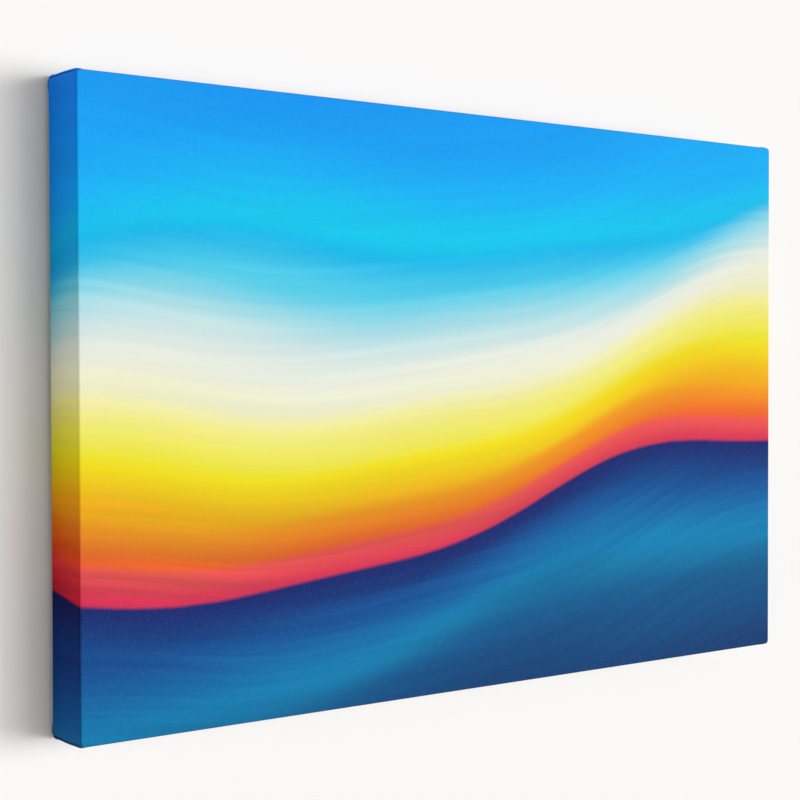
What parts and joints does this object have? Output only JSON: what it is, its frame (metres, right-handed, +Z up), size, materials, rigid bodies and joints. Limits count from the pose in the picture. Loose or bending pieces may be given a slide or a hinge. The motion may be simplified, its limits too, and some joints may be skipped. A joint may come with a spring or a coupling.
{
  "type": "stretched canvas",
  "caption": "Canvas stretched over a deep keyed pine frame: folded and stapled at the back, with wedge keys, a sawtooth hanger and rubber wall pads.",
  "frame": {"origin": "centre notch of the sawtooth hanger, carried straight back onto the wall's plane", "axes": "+Z up, +Y into the wall, so the picture faces -Y; +X to the right of someone who looks at the picture"},
  "size_m": [0.601, 0.0445, 0.403],
  "materials": {
    "canvas": "satin coated cotton canvas, printed on the face",
    "pine": "planed, unfinished",
    "beech": "sawn, unfinished",
    "staple_wire": "galvanised wire",
    "brass": "brass-plated steel sheet",
    "nail_steel": "brassed steel",
    "pad": "matt"
  },
  "bodies": {
    "frame": {"canvas": "canvas", "bar_top": "pine", "bar_bottom": "pine", "bar_left": "pine", "bar_right": "pine", "staples_top": "staple_wire", "staples_bottom": "staple_wire", "staples_left": "staple_wire", "staples_right": "staple_wire", "staples_corners": "staple_wire", "hanger_plate": "brass", "hanger_nails": "nail_steel", "wall_pad_left": "pad", "wall_pad_right": "pad"},
    "key_top_left_x": {"key_top_left_x": "beech"},
    "key_top_left_z": {"key_top_left_z": "beech"},
    "key_top_right_x": {"key_top_right_x": "beech"},
    "key_top_right_z": {"key_top_right_z": "beech"},
    "key_bottom_left_x": {"key_bottom_left_x": "beech"},
    "key_bottom_left_z": {"key_bottom_left_z": "beech"},
    "key_bottom_right_x": {"key_bottom_right_x": "beech"},
    "key_bottom_right_z": {"key_bottom_right_z": "beech"}
  },
  "joints": [
    {"name": "key_top_left_x_slide", "type": "slide", "parent": "frame", "child": "key_top_left_x", "axis": [1, 0, 0], "range_m": [0, 0.012]},
    {"name": "key_top_left_z_slide", "type": "slide", "parent": "frame", "child": "key_top_left_z", "axis": [0, 0, -1], "range_m": [0, 0.012]},
    {"name": "key_top_right_x_slide", "type": "slide", "parent": "frame", "child": "key_top_right_x", "axis": [-1, 0, 0], "range_m": [0, 0.012]},
    {"name": "key_top_right_z_slide", "type": "slide", "parent": "frame", "child": "key_top_right_z", "axis": [0, 0, -1], "range_m": [0, 0.012]},
    {"name": "key_bottom_left_x_slide", "type": "slide", "parent": "frame", "child": "key_bottom_left_x", "axis": [1, 0, 0], "range_m": [0, 0.012]},
    {"name": "key_bottom_left_z_slide", "type": "slide", "parent": "frame", "child": "key_bottom_left_z", "axis": [0, 0, 1], "range_m": [0, 0.012]},
    {"name": "key_bottom_right_x_slide", "type": "slide", "parent": "frame", "child": "key_bottom_right_x", "axis": [-1, 0, 0], "range_m": [0, 0.012]},
    {"name": "key_bottom_right_z_slide", "type": "slide", "parent": "frame", "child": "key_bottom_right_z", "axis": [0, 0, 1], "range_m": [0, 0.012]}
  ]
}
